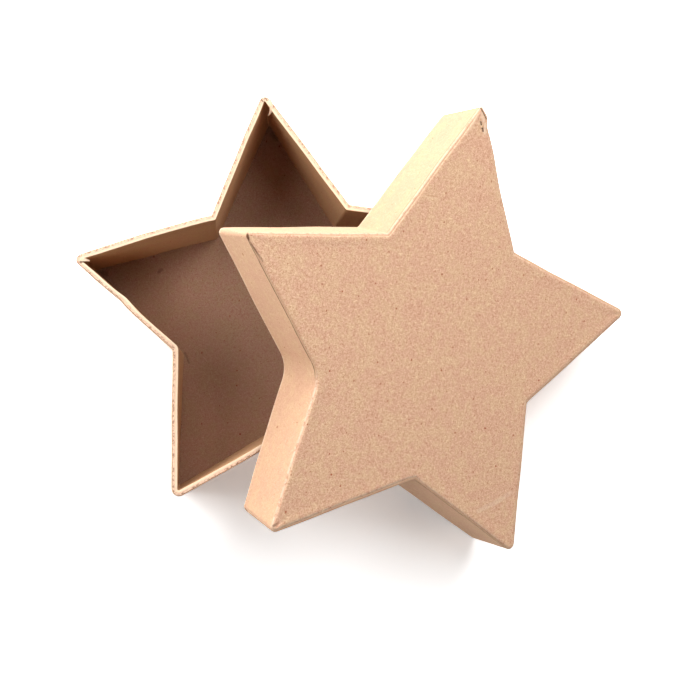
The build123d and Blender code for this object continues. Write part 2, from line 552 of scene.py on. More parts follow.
class ShaderTree:
    """Builds the nodes of one material, or of the world."""

    change_by_channel = (0.53, 1.0, 1.12)

    def __init__(self, owner: Material | World) -> None:
        self.owner = owner
        owner.use_nodes = True
        self.nodes = owner.node_tree.nodes
        self.links = owner.node_tree.links
        self.nodes.clear()

    def node(self, kind: str, inputs: dict[str | int, object] | None = None, **settings: object) -> Node:
        """Adds a node.

        Args:
            kind: type name of the node, without the word ShaderNode.
            inputs: values or sockets for its inputs, by name or number.
            settings: its properties, set before its sockets.

        Returns:
            The node.
        """
        made = self.nodes.new(f"ShaderNode{kind}")
        for key, value in settings.items():
            setattr(made, key, value)
        for key, value in (inputs or {}).items():
            source = value.socket if isinstance(value, Num) else value
            if isinstance(source, NodeSocket):
                self.links.new(source, made.inputs[key])
            else:
                made.inputs[key].default_value = source
        return made

    def math(self, operation: str, *values: Num | float) -> Num:
        """A Math node."""
        made = self.node("Math", dict(enumerate(values)), operation=operation)
        return Num(self, made.outputs[0])

    def vector(self, operation: str, *values: object, scale: Num | float | None = None) -> NodeSocket:
        """A Vector Math node's result, which is a number for a dot product or a length."""
        inputs = dict(enumerate(values)) | ({} if scale is None else {"Scale": scale})
        made = self.node("VectorMath", inputs, operation=operation)
        return made.outputs["Value" if operation in ("DOT_PRODUCT", "LENGTH") else "Vector"]

    def ramp(self, value: Num, low: float, high: float, smooth: bool = True) -> Num:
        """Share of the way from low to high, held between 0 and 1. High may be less than low."""
        limits = {"Value": value, "From Min": low, "From Max": high, "To Min": 0.0, "To Max": 1.0}
        kind = "SMOOTHSTEP" if smooth else "LINEAR"
        made = self.node("MapRange", limits, interpolation_type=kind, clamp=True)
        return Num(self, made.outputs[0])

    def mark(self, name: str) -> Num:
        """A mark that the mesh carries."""
        made = self.node("Attribute", attribute_type="GEOMETRY", attribute_name=name)
        return Num(self, made.outputs["Fac"])

    def half_place(self, placement: Placement) -> NodeSocket:
        """Place in the half's own millimetres, as if it stood on the table about its own middle."""
        turn = Matrix(placement.matrix().tolist()).to_euler()
        origin = tuple(MM * value for value in placement.origin)
        here = self.node("TexCoord").outputs["Object"]
        frame = {"Vector": here, "Location": origin, "Rotation": tuple(turn), "Scale": (MM, MM, MM)}
        return self.node("Mapping", frame, vector_type="TEXTURE").outputs["Vector"]

    def scar(self, place: NodeSocket, scar: Scar, ragged: Num) -> Num:
        """How much a place belongs to a scar: 1 on its line, 0 from its width on.

        The nearest place on the line is its start plus a share of the way to its end. The share is the dot
        product of the way and the offset from the start, over the way's squared length, held from 0 to 1.
        """
        start = Vector(scar.start)
        way = Vector(scar.end) - start
        offset = self.vector("SUBTRACT", place, start)
        held = Num(self, self.vector("DOT_PRODUCT", offset, way / way.length_squared)).clamped()
        away = self.vector("SUBTRACT", offset, self.vector("SCALE", way, scale=held))
        distance = Num(self, self.vector("LENGTH", away)) + ragged * (scar.ragged * scar.width)
        fade = 1.0 - held * (1.0 - scar.end_strength)
        return self.ramp(distance, scar.width, 0.35 * scar.width) * fade * scar.strength

    def paper_place(self) -> NodeSocket:
        """Place on the flat paper, in millimetres."""
        mapped = self.node("UVMap", uv_map=WALK_MAP)
        return self.vector("SCALE", mapped.outputs["UV"], scale=1.0 / MM)

    def moved(self, place: NodeSocket, scale: float, offset: float) -> NodeSocket:
        """A place scaled, then moved by one offset along each axis."""
        return self.vector("MULTIPLY_ADD", place, (scale,) * 3, (offset, 1.7 * offset, 0.0))

    def noise(self, place: NodeSocket, per_mm: float, detail: float, offset: float = 0.0) -> Num:
        """Cloudy noise from about 0.2 to 0.8, this many cells to the millimetre."""
        at = self.moved(place, per_mm, offset)
        inputs = {"Vector": at, "Scale": 1.0, "Detail": detail, "Roughness": 0.65}
        made = self.node("TexNoise", inputs, noise_dimensions="2D")
        return Num(self, made.outputs["Fac"])

    def cells(self, place: NodeSocket, size: float, offset: float) -> Cell:
        """The nearest of scattered seeds, one to each square of this size."""
        at = self.moved(place, 1.0 / size, offset)
        inputs = {"Vector": at, "Scale": 1.0}
        made = self.node("TexVoronoi", inputs, voronoi_dimensions="2D", feature="F1")
        away = self.vector("SUBTRACT", at, made.outputs["Position"])
        apart = self.node("SeparateXYZ", {0: away})
        chance = self.node("SeparateColor", {0: made.outputs["Color"]})
        lengths = (apart.outputs["X"], apart.outputs["Y"], made.outputs["Distance"])
        return Cell(
            *(Num(self, length) * size for length in lengths),
            *(Num(self, chance.outputs[channel]) for channel in ("Red", "Green", "Blue")),
        )

    def specks(self, place: NodeSocket, size: float, radius: float, share: float, offset: float) -> Num:
        """Specks of uneven size on that share of the seeds: 1 at a seed, 0 at the radius or before it."""
        cell = self.cells(place, size, offset)
        away = cell.distance + cell.across_x.size() * cell.first * 0.8 + cell.third * (0.5 * radius)
        return self.ramp(away, radius, 0.4 * radius) * (cell.second > 1.0 - share)

    def fibres(
        self, place: NodeSocket, size: float, length: float, width: float, share: float, offset: float
    ) -> Num:
        """Short curved fibres, each through a seed in its own direction.

        Across the fibre the place is y cos a minus x sin a, plus a curve that grows with the square of the
        place along it, x cos a plus y sin a.
        """
        cell = self.cells(place, size, offset)
        turn = cell.first * (2.0 * math.pi)
        cosine = self.math("COSINE", turn)
        sine = self.math("SINE", turn)
        along = cell.across_x * cosine + cell.across_y * sine
        across = cell.across_y * cosine - cell.across_x * sine
        across = across + along * along * (cell.third - 0.5) * (1.6 / length)
        body = self.ramp(across.size(), width, 0.2 * width)
        ends = self.ramp(along.size(), 0.5 * length, 0.3 * length)
        return body * ends * (cell.second > 1.0 - share)

    def blend(
        self,
        share: Num,
        first: NodeSocket | tuple[float, ...],
        second: NodeSocket | tuple[float, ...],
    ) -> NodeSocket:
        """Colour that turns from the first to the second as the share goes from 0 to 1."""
        first, second = (tone if isinstance(tone, NodeSocket) else (*tone, 1.0) for tone in (first, second))
        inputs = {"Factor": share, 6: first, 7: second}
        made = self.node("Mix", inputs, data_type="RGBA", blend_type="MIX", clamp_factor=True)
        return made.outputs[2]

    def shaded(self, colour: NodeSocket, change: Num) -> NodeSocket:
        """Colour times one plus a change, less of it in red than in blue: light fibres are less brown."""
        gain = self.vector("MULTIPLY_ADD", change, self.change_by_channel, (1.0, 1.0, 1.0))
        return self.vector("MULTIPLY", colour, gain)

    def finish(
        self, colour: NodeSocket, rough: Num, relief: Num, depth_mm: float
    ) -> Material:
        """Joins colour, roughness and relief in the surface shader.

        Args:
            colour: base colour.
            rough: roughness.
            relief: height from 0 to 1.
            depth_mm: height of the relief in millimetres.

        Returns:
            The material.
        """
        bump = self.node("Bump", {"Strength": 1.0, "Distance": depth_mm * MM, "Height": relief})
        inputs = {"Base Color": colour, "Roughness": rough, "Normal": bump.outputs["Normal"]}
        surface = self.node("BsdfPrincipled", inputs | {"Specular IOR Level": 0.25})
        self.node("OutputMaterial", {"Surface": surface.outputs["BSDF"]})
        return self.owner


@dataclass(frozen=True)
class Scar:
    """A line on a half, between two places in millimetres: a slit, hole, crack or tear in the paper, a dark
    mark, painted shade along a fold line, or pale frayed paper and painted highlight along a ridge.

    A pale one takes the finish's pale colour, any other the dark one. Ragged is how far noise moves its
    edge, as a share of its width.
    """

    start: tuple[float, float, float]
    end: tuple[float, float, float]
    width: float
    strength: float = 1.0
    end_strength: float = 1.0
    pale: bool = False
    ragged: float = 0.8


@dataclass(frozen=True)
class Cell:
    """Where a place lies from its nearest seed, and three chance numbers of that seed."""

    across_x: Num
    across_y: Num
    distance: Num
    first: Num
    second: Num
    third: Num


@dataclass(frozen=True)
class KraftFinish:
    """Kraft paper or board: recycled fibre, mottled pink to yellow brown, with dark and light fibres.

    Mottle, grain and fibre scale the clouds, the fine noise and the number of fibres. The offset moves the
    noise, so that no two finishes repeat each other.
    """

    name: str
    pinkish: tuple[float, float, float]
    yellowish: tuple[float, float, float]
    pale: tuple[float, float, float]
    dark: tuple[float, float, float]
    mottle: float = 1.0
    grain: float = 1.0
    fibre: float = 1.0
    relief_mm: float = 0.05
    offset: float = 0.0

    def make(self, placement: Placement, scars: Sequence[Scar]) -> Material:
        """Builds the material.

        The colour goes from pinkish to yellowish with cloudy noise, its level follows coarse and fine
        noise, and fibres, specks, wear and painted highlights at folds and edges, painted shade along
        folds, scars and the cut edge's plies are laid over it.

        Args:
            placement: where the half lies that it covers.
            scars: slits, tears, dark marks, painted shade and painted highlights of that half.

        Returns:
            The material.
        """
        tree = ShaderTree(bpy.data.materials.new(self.name))
        place = tree.paper_place()
        cloud = tree.noise(place, 0.13, 1.0, self.offset + 3.0)
        patch = tree.noise(place, 0.40, 1.0, self.offset + 11.0)
        grit = tree.noise(place, 1.1, 2.0, self.offset + 17.0)
        fine = tree.noise(place, 2.3, 2.0, self.offset + 23.0)
        tint = tree.ramp(cloud * 0.55 + patch * 0.45, 0.36, 0.66)
        colour = tree.blend(tint, self.pinkish, self.yellowish)
        change = (
            (cloud - 0.5) * (0.14 * self.mottle)
            + (patch - 0.5) * (0.24 * self.mottle)
            + (grit - 0.5) * (0.72 * self.grain)
            + (fine - 0.5) * (1.15 * self.grain)
        )
        light_fibre = tree.fibres(place, 2.4, 2.3, 0.16, 0.40 * self.fibre, self.offset + 5.0)
        thin_fibre = tree.fibres(place, 1.2, 1.1, 0.14, 0.50 * self.fibre, self.offset + 31.0)
        brown_fibre = tree.fibres(place, 1.9, 1.3, 0.16, 0.45 * self.fibre, self.offset + 47.0)
        small_speck = tree.specks(place, 1.9, 0.28, 0.30 * self.fibre, self.offset + 61.0)
        large_speck = tree.specks(place, 6.0, 0.50, 0.65 * self.fibre, self.offset + 71.0)
        lighter = light_fibre * 0.20 + thin_fibre * 0.15
        darker = brown_fibre * 0.18 + small_speck * 0.25 + large_speck * 0.68
        colour = tree.shaded(colour, change + lighter - darker)
        # Paler paper at the rim's edge, and painted highlight where the folds and the sheet's edge are lit,
        # from one mark.
        wear_and_highlight = tree.mark(WEAR_AND_HIGHLIGHT_MARK) * tree.ramp(grit + patch, 0.65, 1.05)
        colour = tree.blend((wear_and_highlight * 0.8).clamped(), colour, self.pale)
        # A thin dark line of painted shade along the start of the fold.
        across = Num(tree, tree.node("SeparateXYZ", {0: place}).outputs["Y"])
        fold_shade_line = tree.mark(FOLD_SHADE_MARK) * tree.ramp((across + (patch - 0.5) * 0.4).size(), 0.36, 0.14)
        colour = tree.blend(fold_shade_line.clamped(), colour, self.dark)
        colour = self._cut_edge(tree, place, colour, grit)
        relief = grit * 0.5 + fine * 0.5 + patch * 0.4 + light_fibre * 0.25 + thin_fibre * 0.15
        rough = 0.82 + (patch - 0.5) * 0.2
        if scars:
            own = tree.half_place(placement)
            ragged = tree.noise(place, 1.9, 2.0, self.offset + 91.0) - 0.5
            for pale, tone in ((True, self.pale), (False, self.dark)):
                masks = [tree.scar(own, scar, ragged) for scar in scars if scar.pale is pale]
                if masks:
                    together = masks[0]
                    for mask in masks[1:]:
                        together = tree.math("MAXIMUM", together, mask)
                    colour = tree.blend(together.clamped(), colour, tone)
                    relief = relief + together * (0.6 if pale else -1.6)
        return tree.finish(colour, rough, relief, self.relief_mm)

    def _cut_edge(self, tree: ShaderTree, place: NodeSocket, colour: NodeSocket, grit: Num) -> NodeSocket:
        """Colour of the board's cut edge: pale inner ply, pink core, outer ply with torn brown spots."""
        edge = tree.mark(RIM_MARK).clamped()
        ply = tree.mark(PLY_MARK)
        tear = tree.noise(place, 1.1, 3.0, self.offset + 83.0)
        core = tree.blend(tree.ramp(tear, 0.35, 0.7), (0.86, 0.61, 0.43), (0.68, 0.41, 0.29))
        inner = tree.ramp(ply + (tear - 0.5) * 0.8, 1.0, 1.5)
        plies = tree.blend(inner * 0.8, core, (0.94, 0.73, 0.52))
        torn = tree.ramp(ply, 1.05, 0.55) * tree.ramp(tear + grit * 0.6, 0.84, 0.94)
        plies = tree.blend(torn * 0.75, plies, (0.24, 0.12, 0.07))
        return tree.blend(edge, colour, plies)


def finishes(prefix: str, strip: KraftFinish, panel: KraftFinish) -> dict[str, KraftFinish]:
    """Finishes of one half's four parts, with the half's name put before theirs."""
    wrap = KraftFinish(
        f"{prefix}_wrap_kraft", (0.73, 0.44, 0.285), (0.72, 0.45, 0.275), (0.95, 0.74, 0.56),
        (0.17, 0.075, 0.035), mottle=0.8, grain=0.45, fibre=0.35, relief_mm=0.03, offset=101.0,
    )
    face = KraftFinish(
        f"{prefix}_face_kraft", (0.80, 0.475, 0.315), (0.785, 0.485, 0.30),
        (0.95, 0.74, 0.56), (0.09, 0.035, 0.018), relief_mm=0.035,
    )
    return {"wall": strip, "panel": panel, "wrap": wrap, "sheet": face}


# The tray's board is coloured darker than the lid's: partly its own brown, partly painted shade of the
# tray's deep inside, most of all on its floor.
SHADED_TRAY_STRIP = KraftFinish(
    "tray_strip_painted_shade", (0.51, 0.285, 0.155), (0.49, 0.285, 0.145), (0.66, 0.46, 0.30),
    (0.16, 0.08, 0.045), mottle=0.9, grain=0.4, fibre=0.4, relief_mm=0.03, offset=211.0,
)
SHADED_TRAY_PANEL = KraftFinish(
    "tray_panel_painted_shade", (0.365, 0.20, 0.135), (0.335, 0.19, 0.115), (0.53, 0.34, 0.24),
    (0.12, 0.06, 0.035), mottle=1.0, grain=0.7, fibre=0.6, relief_mm=0.03, offset=257.0,
)
PLY = KraftFinish(
    "peeled_ply", (0.86, 0.62, 0.46), (0.84, 0.62, 0.42), (0.95, 0.80, 0.62),
    (0.30, 0.17, 0.10), mottle=0.9, grain=0.4, fibre=0.4, relief_mm=0.03, offset=401.0,
)
LID_STRIP = KraftFinish(
    "lid_strip_board", (0.56, 0.34, 0.21), (0.54, 0.33, 0.19), (0.72, 0.53, 0.37),
    (0.18, 0.09, 0.05), mottle=0.9, grain=0.4, fibre=0.4, relief_mm=0.03, offset=307.0,
)
LID_PANEL = KraftFinish(
    "lid_panel_board", (0.50, 0.29, 0.19), (0.47, 0.28, 0.165), (0.66, 0.47, 0.34),
    (0.16, 0.08, 0.045), mottle=0.9, grain=0.5, fibre=0.6, relief_mm=0.03, offset=353.0,
)


@dataclass(frozen=True)
class PeeledPly:
    """A tongue of board ply that has come loose and curls, thinner and narrower towards its end.

    Its middle line is the cubic curve of four places, (1 - t) cubed times the first, and so on. The section
    is an oval that lies across the side direction.
    """

    name: str
    line: tuple[tuple[float, float, float], ...]
    side: tuple[float, float, float]
    width: float
    end_width: float
    thickness: float = 0.28

    def sheet(self) -> Sheet:
        """The tongue as a grid: round its section by along its middle line."""
        share = np.linspace(0.0, 1.0, 25)[:, None]
        first, second, third, fourth = (np.array(place) for place in self.line)
        rest = 1.0 - share
        middle = (
            rest**3 * first + 3 * rest**2 * share * second + 3 * rest * share**2 * third + share**3 * fourth
        )
        along = np.gradient(middle, axis=0)
        along /= np.linalg.norm(along, axis=1)[:, None]
        flat = np.cross(along, np.array(self.side))
        flat /= np.linalg.norm(flat, axis=1)[:, None]
        across = np.cross(flat, along)
        turn = np.linspace(0.0, 2.0 * math.pi, 17)[:, None, None]
        width = 0.5 * (self.width + (self.end_width - self.width) * share[:, 0] ** 1.5)
        thick = 0.5 * self.thickness * (1.0 - 0.5 * share[:, 0])
        curl = 0.35 * width * share[:, 0] * (np.cos(turn[..., 0]) ** 2)
        places = (
            middle[None]
            + np.cos(turn) * width[None, :, None] * across[None]
            + (np.sin(turn) * thick[None, :, None] + curl[..., None]) * flat[None]
        )
        length = np.broadcast_to(3.0 * share[None, :, 0], places.shape[:2])
        round_it = np.broadcast_to(turn[..., 0], places.shape[:2])
        paper_map = np.stack([length, round_it], axis=-1)
        return Sheet(places, paper_map, {}, closed_round=False, closed_across=True)


class Side(Enum):
    """Which way a half is open."""

    UP = 1
    DOWN = -1


@dataclass
class HalfBox:
    """One half: a folded strip of board, a star panel in its end, and kraft paper round and over them.

    Reach is the distance from the closed end's outer face towards the open rim. For each of the ten walls,
    rubbed says how strong a painted highlight its paper gets where it folds over the closed end, frayed how
    strong a painted highlight the star sheet's edge gets, fold_shade how dark the painted shade along the
    fold's line is, fold_tightness how much of the full rounding the fold has, and sheet_edge how far inside
    the wall's outer surface the star sheet ends.
    """

    prefix: str
    side: Side
    outline: StarOutline
    depth: float
    shape: HandShape
    placement: Placement
    seam_point: int
    names: dict[str, str]
    finishes: dict[str, KraftFinish]
    scars: tuple[Scar, ...] = ()
    scarred: tuple[str, ...] = ()
    peeled: tuple[PeeledPly, ...] = ()
    board: float = 1.6
    kraft: float = 0.3
    turn_over: float = 3.0
    face_inset: float = 0.8
    fold_round: float = 1.0
    rim_setback: float = 0.6
    lap: float = 8.0
    half_seam: float = 0.12
    pressed_flat: bool = True
    rubbed: tuple[float, ...] = (0.0,) * 10
    frayed: tuple[float, ...] = (0.0,) * 10
    fold_shade: tuple[float, ...] = (0.0,) * 10
    fold_tightness: tuple[float, ...] = (1.0,) * 10
    sheet_edge: tuple[float, ...] = (0.8,) * 10

    @property
    def wall(self) -> float:
        """Thickness of a wall with its paper."""
        return self.board + self.kraft

    def height(self, reach: np.ndarray) -> np.ndarray:
        """Height above the half's own origin at a reach from its closed end."""
        return reach if self.side is Side.UP else self.depth - reach

    def place(self, depth: np.ndarray, reach: np.ndarray, walk: Walk) -> np.ndarray:
        """Grid of places before the hand-made shape: section rows by steps of the walk.

        A place is the outline moved inwards by its depth, at the height of its reach.
        """
        return np.concatenate([walk.inset(depth), self.height(reach)[..., None]], axis=-1)

    def settle(self, sheet: Sheet) -> Sheet:
        """Gives a sheet the hand-made shape and lays it where the half lies, nowhere below the table."""
        laid = self.placement.apply(self.shape.apply(sheet.flat_places()))
        laid[:, 2] = np.maximum(laid[:, 2], 0.0)
        sheet.places = laid.reshape(sheet.places.shape)
        return sheet

    @staticmethod
    def strip_map(walk: Walk, along_section: np.ndarray) -> np.ndarray:
        """Flat map of a section carried along the walk: distance round it, and along the section."""
        return np.stack(np.broadcast_arrays(walk.travelled[None], along_section[:, None]), axis=-1)

    def strip(self) -> Sheet:
        """The folded strip of board, its two ends meeting at the seam point."""
        walk = self.outline.walk(first=self.seam_point, seam=self.half_seam)
        near = 2.0 * self.kraft
        corners = [
            (self.kraft, near, 0.0),
            (self.wall, near, 0.0),
            (self.wall, self.depth, 0.22),
            (self.kraft, self.depth, 0.25),
        ]
        line = section_line(corners, 1.0)
        rim = smooth_step(line[:, 1], self.depth - 0.12, self.depth - 0.02)
        frayed = 0.10 * np.abs(np.sin(3.1 * walk.travelled) * np.sin(1.3 * walk.travelled + 1.0))
        outer_edge = rim * (line[:, 0] < self.kraft + 0.3)
        depth = line[:, :1] + outer_edge[:, None] * frayed[None]
        places = self.place(depth, np.repeat(line[:, 1:], len(walk.places), axis=1), walk)
        grid = places.shape[:2]
        rough = 0.05 * np.sin(9.1 * walk.travelled) + 0.05 * np.sin(4.3 * walk.travelled + 1.0)
        places[..., 2] -= self.side.value * np.abs(rough)[None] * rim[:, None]
        marks = {
            RIM_MARK: np.broadcast_to(rim[:, None], grid),
            PLY_MARK: np.broadcast_to(line[:, :1], grid),
        }
        paper_map = self.strip_map(walk, travelled_along(line))
        return self.settle(Sheet(places, paper_map, marks, closed_round=False, closed_across=True))

    def flap_width(self, walk: Walk) -> np.ndarray:
        """Width of the paper turned over the closed end, at each step of the walk.

        Each flap is bounded by the line that halves its point, and by a wedge that opens from the notch.
        """
        half_turn = math.radians(self.outline.tip_angle / 2.0)
        wall_length = walk.travelled[-1] / (2.0 * self.outline.points)
        from_corner = np.abs(walk.corner - np.round(walk.corner)) * wall_length
        at_tip = np.round(walk.corner) % 2 == 0
        to_tip = from_corner * math.tan(half_turn) + 0.5
        to_notch = 0.5 + 2.2 * from_corner
        return np.clip(np.where(at_tip, to_tip, to_notch), self.fold_round + 0.2, self.turn_over)

    def wrap(self) -> Sheet:
        """Kraft paper round the strip, turned over the closed end in ten flaps, lapped beside the seam."""
        walk = self.outline.walk(first=self.seam_point)
        width = self.flap_width(walk)
        rim = self.depth - self.rim_setback
        near = self.kraft
        corners = [
            (0.0, rim, 0.1),
            (0.0, near, self.fold_round),
            (self.fold_round + FLAP_START, near, 0.08),
            (self.fold_round + FLAP_START, 2.0 * near, 0.08),
            (self.kraft, 2.0 * near, 0.05),
            (self.kraft, rim, 0.1),
        ]
        line = section_line(corners, 1.0)
        folding = int(np.argmax(line[:, 1] <= near + self.fold_round + 1e-6))
        depth = np.repeat(line[:, :1], len(walk.places), axis=1)
        beyond = np.clip((depth - self.fold_round) / FLAP_START, 0.0, 1.0)
        depth = depth + beyond * (width[None] - self.fold_round - FLAP_START)
        reach = np.repeat(line[:, 1:], len(walk.places), axis=1)
        tight = walk.by_wall(self.fold_tightness)[None]
        rounding = slice(folding, folding + ROUNDING_PLACES)
        depth[rounding] *= tight
        reach[rounding] = near + (reach[rounding] - near) * tight
        lap_end = smooth_step(walk.travelled, self.lap, self.lap + 0.4)
        lapped = smooth_step(walk.travelled, 0.2, 0.6) * (1.0 - lap_end)
        outside = (line[:, 0] < 0.5 * self.kraft) & (line[:, 1] > near + self.fold_round)
        depth = depth - 0.25 * self.kraft * lapped[None] * outside[:, None]
        places = self.place(depth, reach, walk)
        travelled = travelled_along(line)
        from_fold = travelled - travelled[folding]
        # Painted highlight on the rounded fold, as strong on each wall as rubbed says; paler paper where it
        # ends at the rim; painted shade along the fold's line.
        fold = bell(from_fold, 0.9, 0.5)[:, None] * walk.by_wall(self.rubbed)[None]
        at_rim = smooth_step(line[:, 1], rim - 0.35, rim)[:, None]
        marks = {
            WEAR_AND_HIGHLIGHT_MARK: np.maximum(fold, 0.9 * at_rim),
            FOLD_SHADE_MARK: np.broadcast_to(walk.by_wall(self.fold_shade), places.shape[:2]),
        }
        paper_map = self.strip_map(walk, from_fold)
        return self.settle(Sheet(places, paper_map, marks, closed_round=True, closed_across=True))

    def flat_star(
        self,
        outer_depth: float,
        near: float,
        far: float,
        lift: Callable[[np.ndarray, Walk], np.ndarray] | None = None,
        rounding: float = 0.1,
        dense_to: float = 1.0,
        feather: float = 0.0,
    ) -> Sheet:
        """A star-shaped panel or sheet between two reaches.

        The section runs from the middle of its outer face to its edge and back along its inner face.

        Args:
            outer_depth: depth of its edge inside the wall's outer surface.
            near: reach of its outer face.
            far: reach of its inner face.
            lift: reach to add to both faces, by depth and walk.
            rounding: rounding of its outer edge.
            dense_to: depth down to which the section is finely divided.
            feather: how much the outer face gives way at the edge, where the sheet is rubbed down.

        Returns:
            The sheet, shaped and laid.
        """
        walk = self.outline.walk(first=self.seam_point)
        fine = np.arange(outer_depth + rounding, dense_to, 0.3)
        coarse = np.linspace(dense_to, self.outline.edge - 0.4, 30)
        inward = np.concatenate([fine, coarse])
        curve = np.linspace(0.0, 0.5 * math.pi, 4)[:-1]
        round_depth = outer_depth + rounding * (1.0 - np.sin(curve))[::-1]
        round_reach = near + rounding * (1.0 - np.cos(curve))[::-1]
        depths = np.concatenate([inward[::-1], round_depth[::-1], [outer_depth], inward])
        rubbed = near + feather * (1.0 - smooth_step(inward, outer_depth, outer_depth + 0.9))
        inner_face = np.full(len(inward), far)
        reaches = np.concatenate([rubbed[::-1], round_reach[::-1] + feather, [far], inner_face])
        rings = np.stack([walk.ring(depth) for depth in depths])
        reach_grid = np.repeat(reaches[:, None], len(walk.places), axis=1)
        if lift is not None:
            inwards = walk.by_wall(self.sheet_edge) - outer_depth
            fade = 1.0 - smooth_step(depths, outer_depth, outer_depth + self.turn_over)
            rings = rings - (fade[:, None] * inwards[None])[..., None] * walk.outwards[None]
            reach_grid = reach_grid + lift(depths, walk)
        places = np.concatenate([rings, self.height(reach_grid)[..., None]], axis=-1)
        outside = (np.arange(len(depths)) <= len(inward) + len(round_depth))[:, None]
        # Painted highlight along the sheet's edge, as strong on each wall as frayed says.
        wear_and_highlight = bell(depths, outer_depth, 0.4)[:, None] * outside * walk.by_wall(self.frayed)[None]
        marks = {WEAR_AND_HIGHLIGHT_MARK: wear_and_highlight}
        return self.settle(Sheet(places, rings, marks, closed_round=True, closed_across=False))

    def stepped(self, depths: np.ndarray, walk: Walk) -> np.ndarray:
        """Reach added to the face sheet, which dips softly, more here and less there, inside the flaps."""
        width = self.flap_width(walk)[None]
        share = 0.22 + 0.12 * np.sin(0.071 * walk.travelled + 1.2) + 0.08 * np.sin(0.23 * walk.travelled)
        on_flap = 1.0 - smooth_step(depths[:, None] - width, -0.7, 1.3)
        return self.kraft * (0.45 - share[None] * on_flap)

    def build(self, maker: PieceMaker) -> list[Object]:
        """Makes the four pieces of the half, and the tongues of ply that have come loose from it.

        Args:
            maker: what turns sheets into pieces.

        Returns:
            The pieces.
        """
        if self.pressed_flat:
            sheet = self.flat_star(self.face_inset, 0.0, self.kraft, rounding=0.08)
            panel = self.flat_star(self.wall, 2.0 * self.kraft, self.kraft + self.board)
        else:
            sheet = self.flat_star(
                0.9, 0.0, self.kraft, lift=self.stepped, rounding=0.05, dense_to=5.0, feather=0.12
            )
            panel = self.flat_star(self.wall, 2.0 * self.kraft, 2.0 * self.kraft + self.board)
        rows = (
            ("wall", "folded_strip", self.strip(), "board"),
            ("panel", "star_panel", panel, "board"),
            ("wrap", "kraft_wrap", self.wrap(), "wrap_paper"),
            ("sheet", "kraft_sheet", sheet, "face_paper"),
        )
        pieces = [
            maker.make(
                f"{self.prefix}_{name}", made, slot, self.names[part],
                self.finishes[part].make(self.placement, self.scars if part in self.scarred else ()),
            )
            for part, name, made, slot in rows
        ]
        if self.peeled:
            pale_ply = PLY.make(self.placement, ())
            for ply in self.peeled:
                name = f"{self.prefix}_{ply.name}"
                pieces.append(maker.make(name, ply.sheet(), "board", None, pale_ply))
        return pieces


def tray_half() -> HalfBox:
    """The tray, open side up. Its shifts are in the order of its corners, point and notch in turn."""
    outline = StarOutline(edge=35.9, notch_radii=(0.7, 2.4, 2.0, 2.0, 1.2))
    shape = HandShape(
        outline=outline,
        panel_height=1.9,
        rim_height=TRAY_DEPTH,
        panel_shift=(
            (3.2, 1.0), (3.0, -0.2), (3.0, 1.5), (1.3, 2.5), (-0.1, 0.9),
            (0.5, 1.6), (0.0, 0.0), (0.0, 0.0), (0.0, 0.0), (0.6, 0.2),
        ),
        rim_shift=(
            (-0.5, 0.0), (1.9, 0.6), (1.2, 0.2), (-0.3, 2.4), (-0.2, 0.1),
            (0.0, 0.0), (0.0, 0.0), (0.0, 0.0), (-0.3, 0.2), (0.8, 0.4),
        ),
        panel_bow=(0.0, 0.2, 0.0, 0.0, 0.0, 0.0, 0.0, 0.0, 0.0, 0.0),
        rim_bow=(0.2, 0.7, 0.1, 0.0, 0.3, 0.0, 0.0, 0.0, 0.0, 0.2),
        rim_roundness=(0.8, 0.8, 1.0, 1.0, 1.0),
        bends=(Bend(2, 0.45, 0.08, -0.45, 1.0, 0.2),),
    )
    names = {"wall": "tray_wall", "panel": "tray_floor", "wrap": "tray_wrap", "sheet": "tray_base_sheet"}
    peeled = (
        PeeledPly(
            "upper_point_ply",
            ((0.9, 68.6, 36.6), (1.9, 66.9, 37.3), (1.7, 65.0, 36.6), (0.3, 63.9, 35.4)),
            (0.8, 0.3, 0.1), 1.5, 0.4,
        ),
        PeeledPly(
            "left_point_ply",
            ((-63.9, 21.4, 36.5), (-62.9, 21.2, 37.3), (-62.0, 21.0, 37.0), (-61.2, 20.9, 36.0)),
            (0.2, 1.0, 0.1), 1.2, 0.4,
        ),
    )
    scars = (
        Scar((-63.9, 20.6, 36.8), (-62.9, 20.9, 36.8), 0.60, 0.9),
        Scar((-1.6, 69.0, 36.8), (-1.0, 68.3, 36.8), 0.40, 0.8),
        Scar((-0.2, 69.8, 36.8), (0.3, 68.6, 36.8), 0.35, 0.7),
        # Dark marks on the floor, two of them inside its points.
        Scar((-40.3, 20.0, 1.9), (-39.2, 20.7, 1.9), 0.75, 0.45),
        Scar((-33.8, -8.9, 1.9), (-32.7, -12.5, 1.9), 0.50, 0.45),
        Scar((-59.2, 21.5, 1.9), (-58.2, 20.9, 1.9), 1.10, 0.45),
        Scar((4.0, 65.2, 1.9), (5.4, 64.2, 1.9), 1.60, 0.35),
    )
    return HalfBox(
        "tray", Side.UP, outline, TRAY_DEPTH, shape, Placement(), 0, names,
        finishes("tray", SHADED_TRAY_STRIP, SHADED_TRAY_PANEL), scars, ("wall", "panel"), peeled,
    )


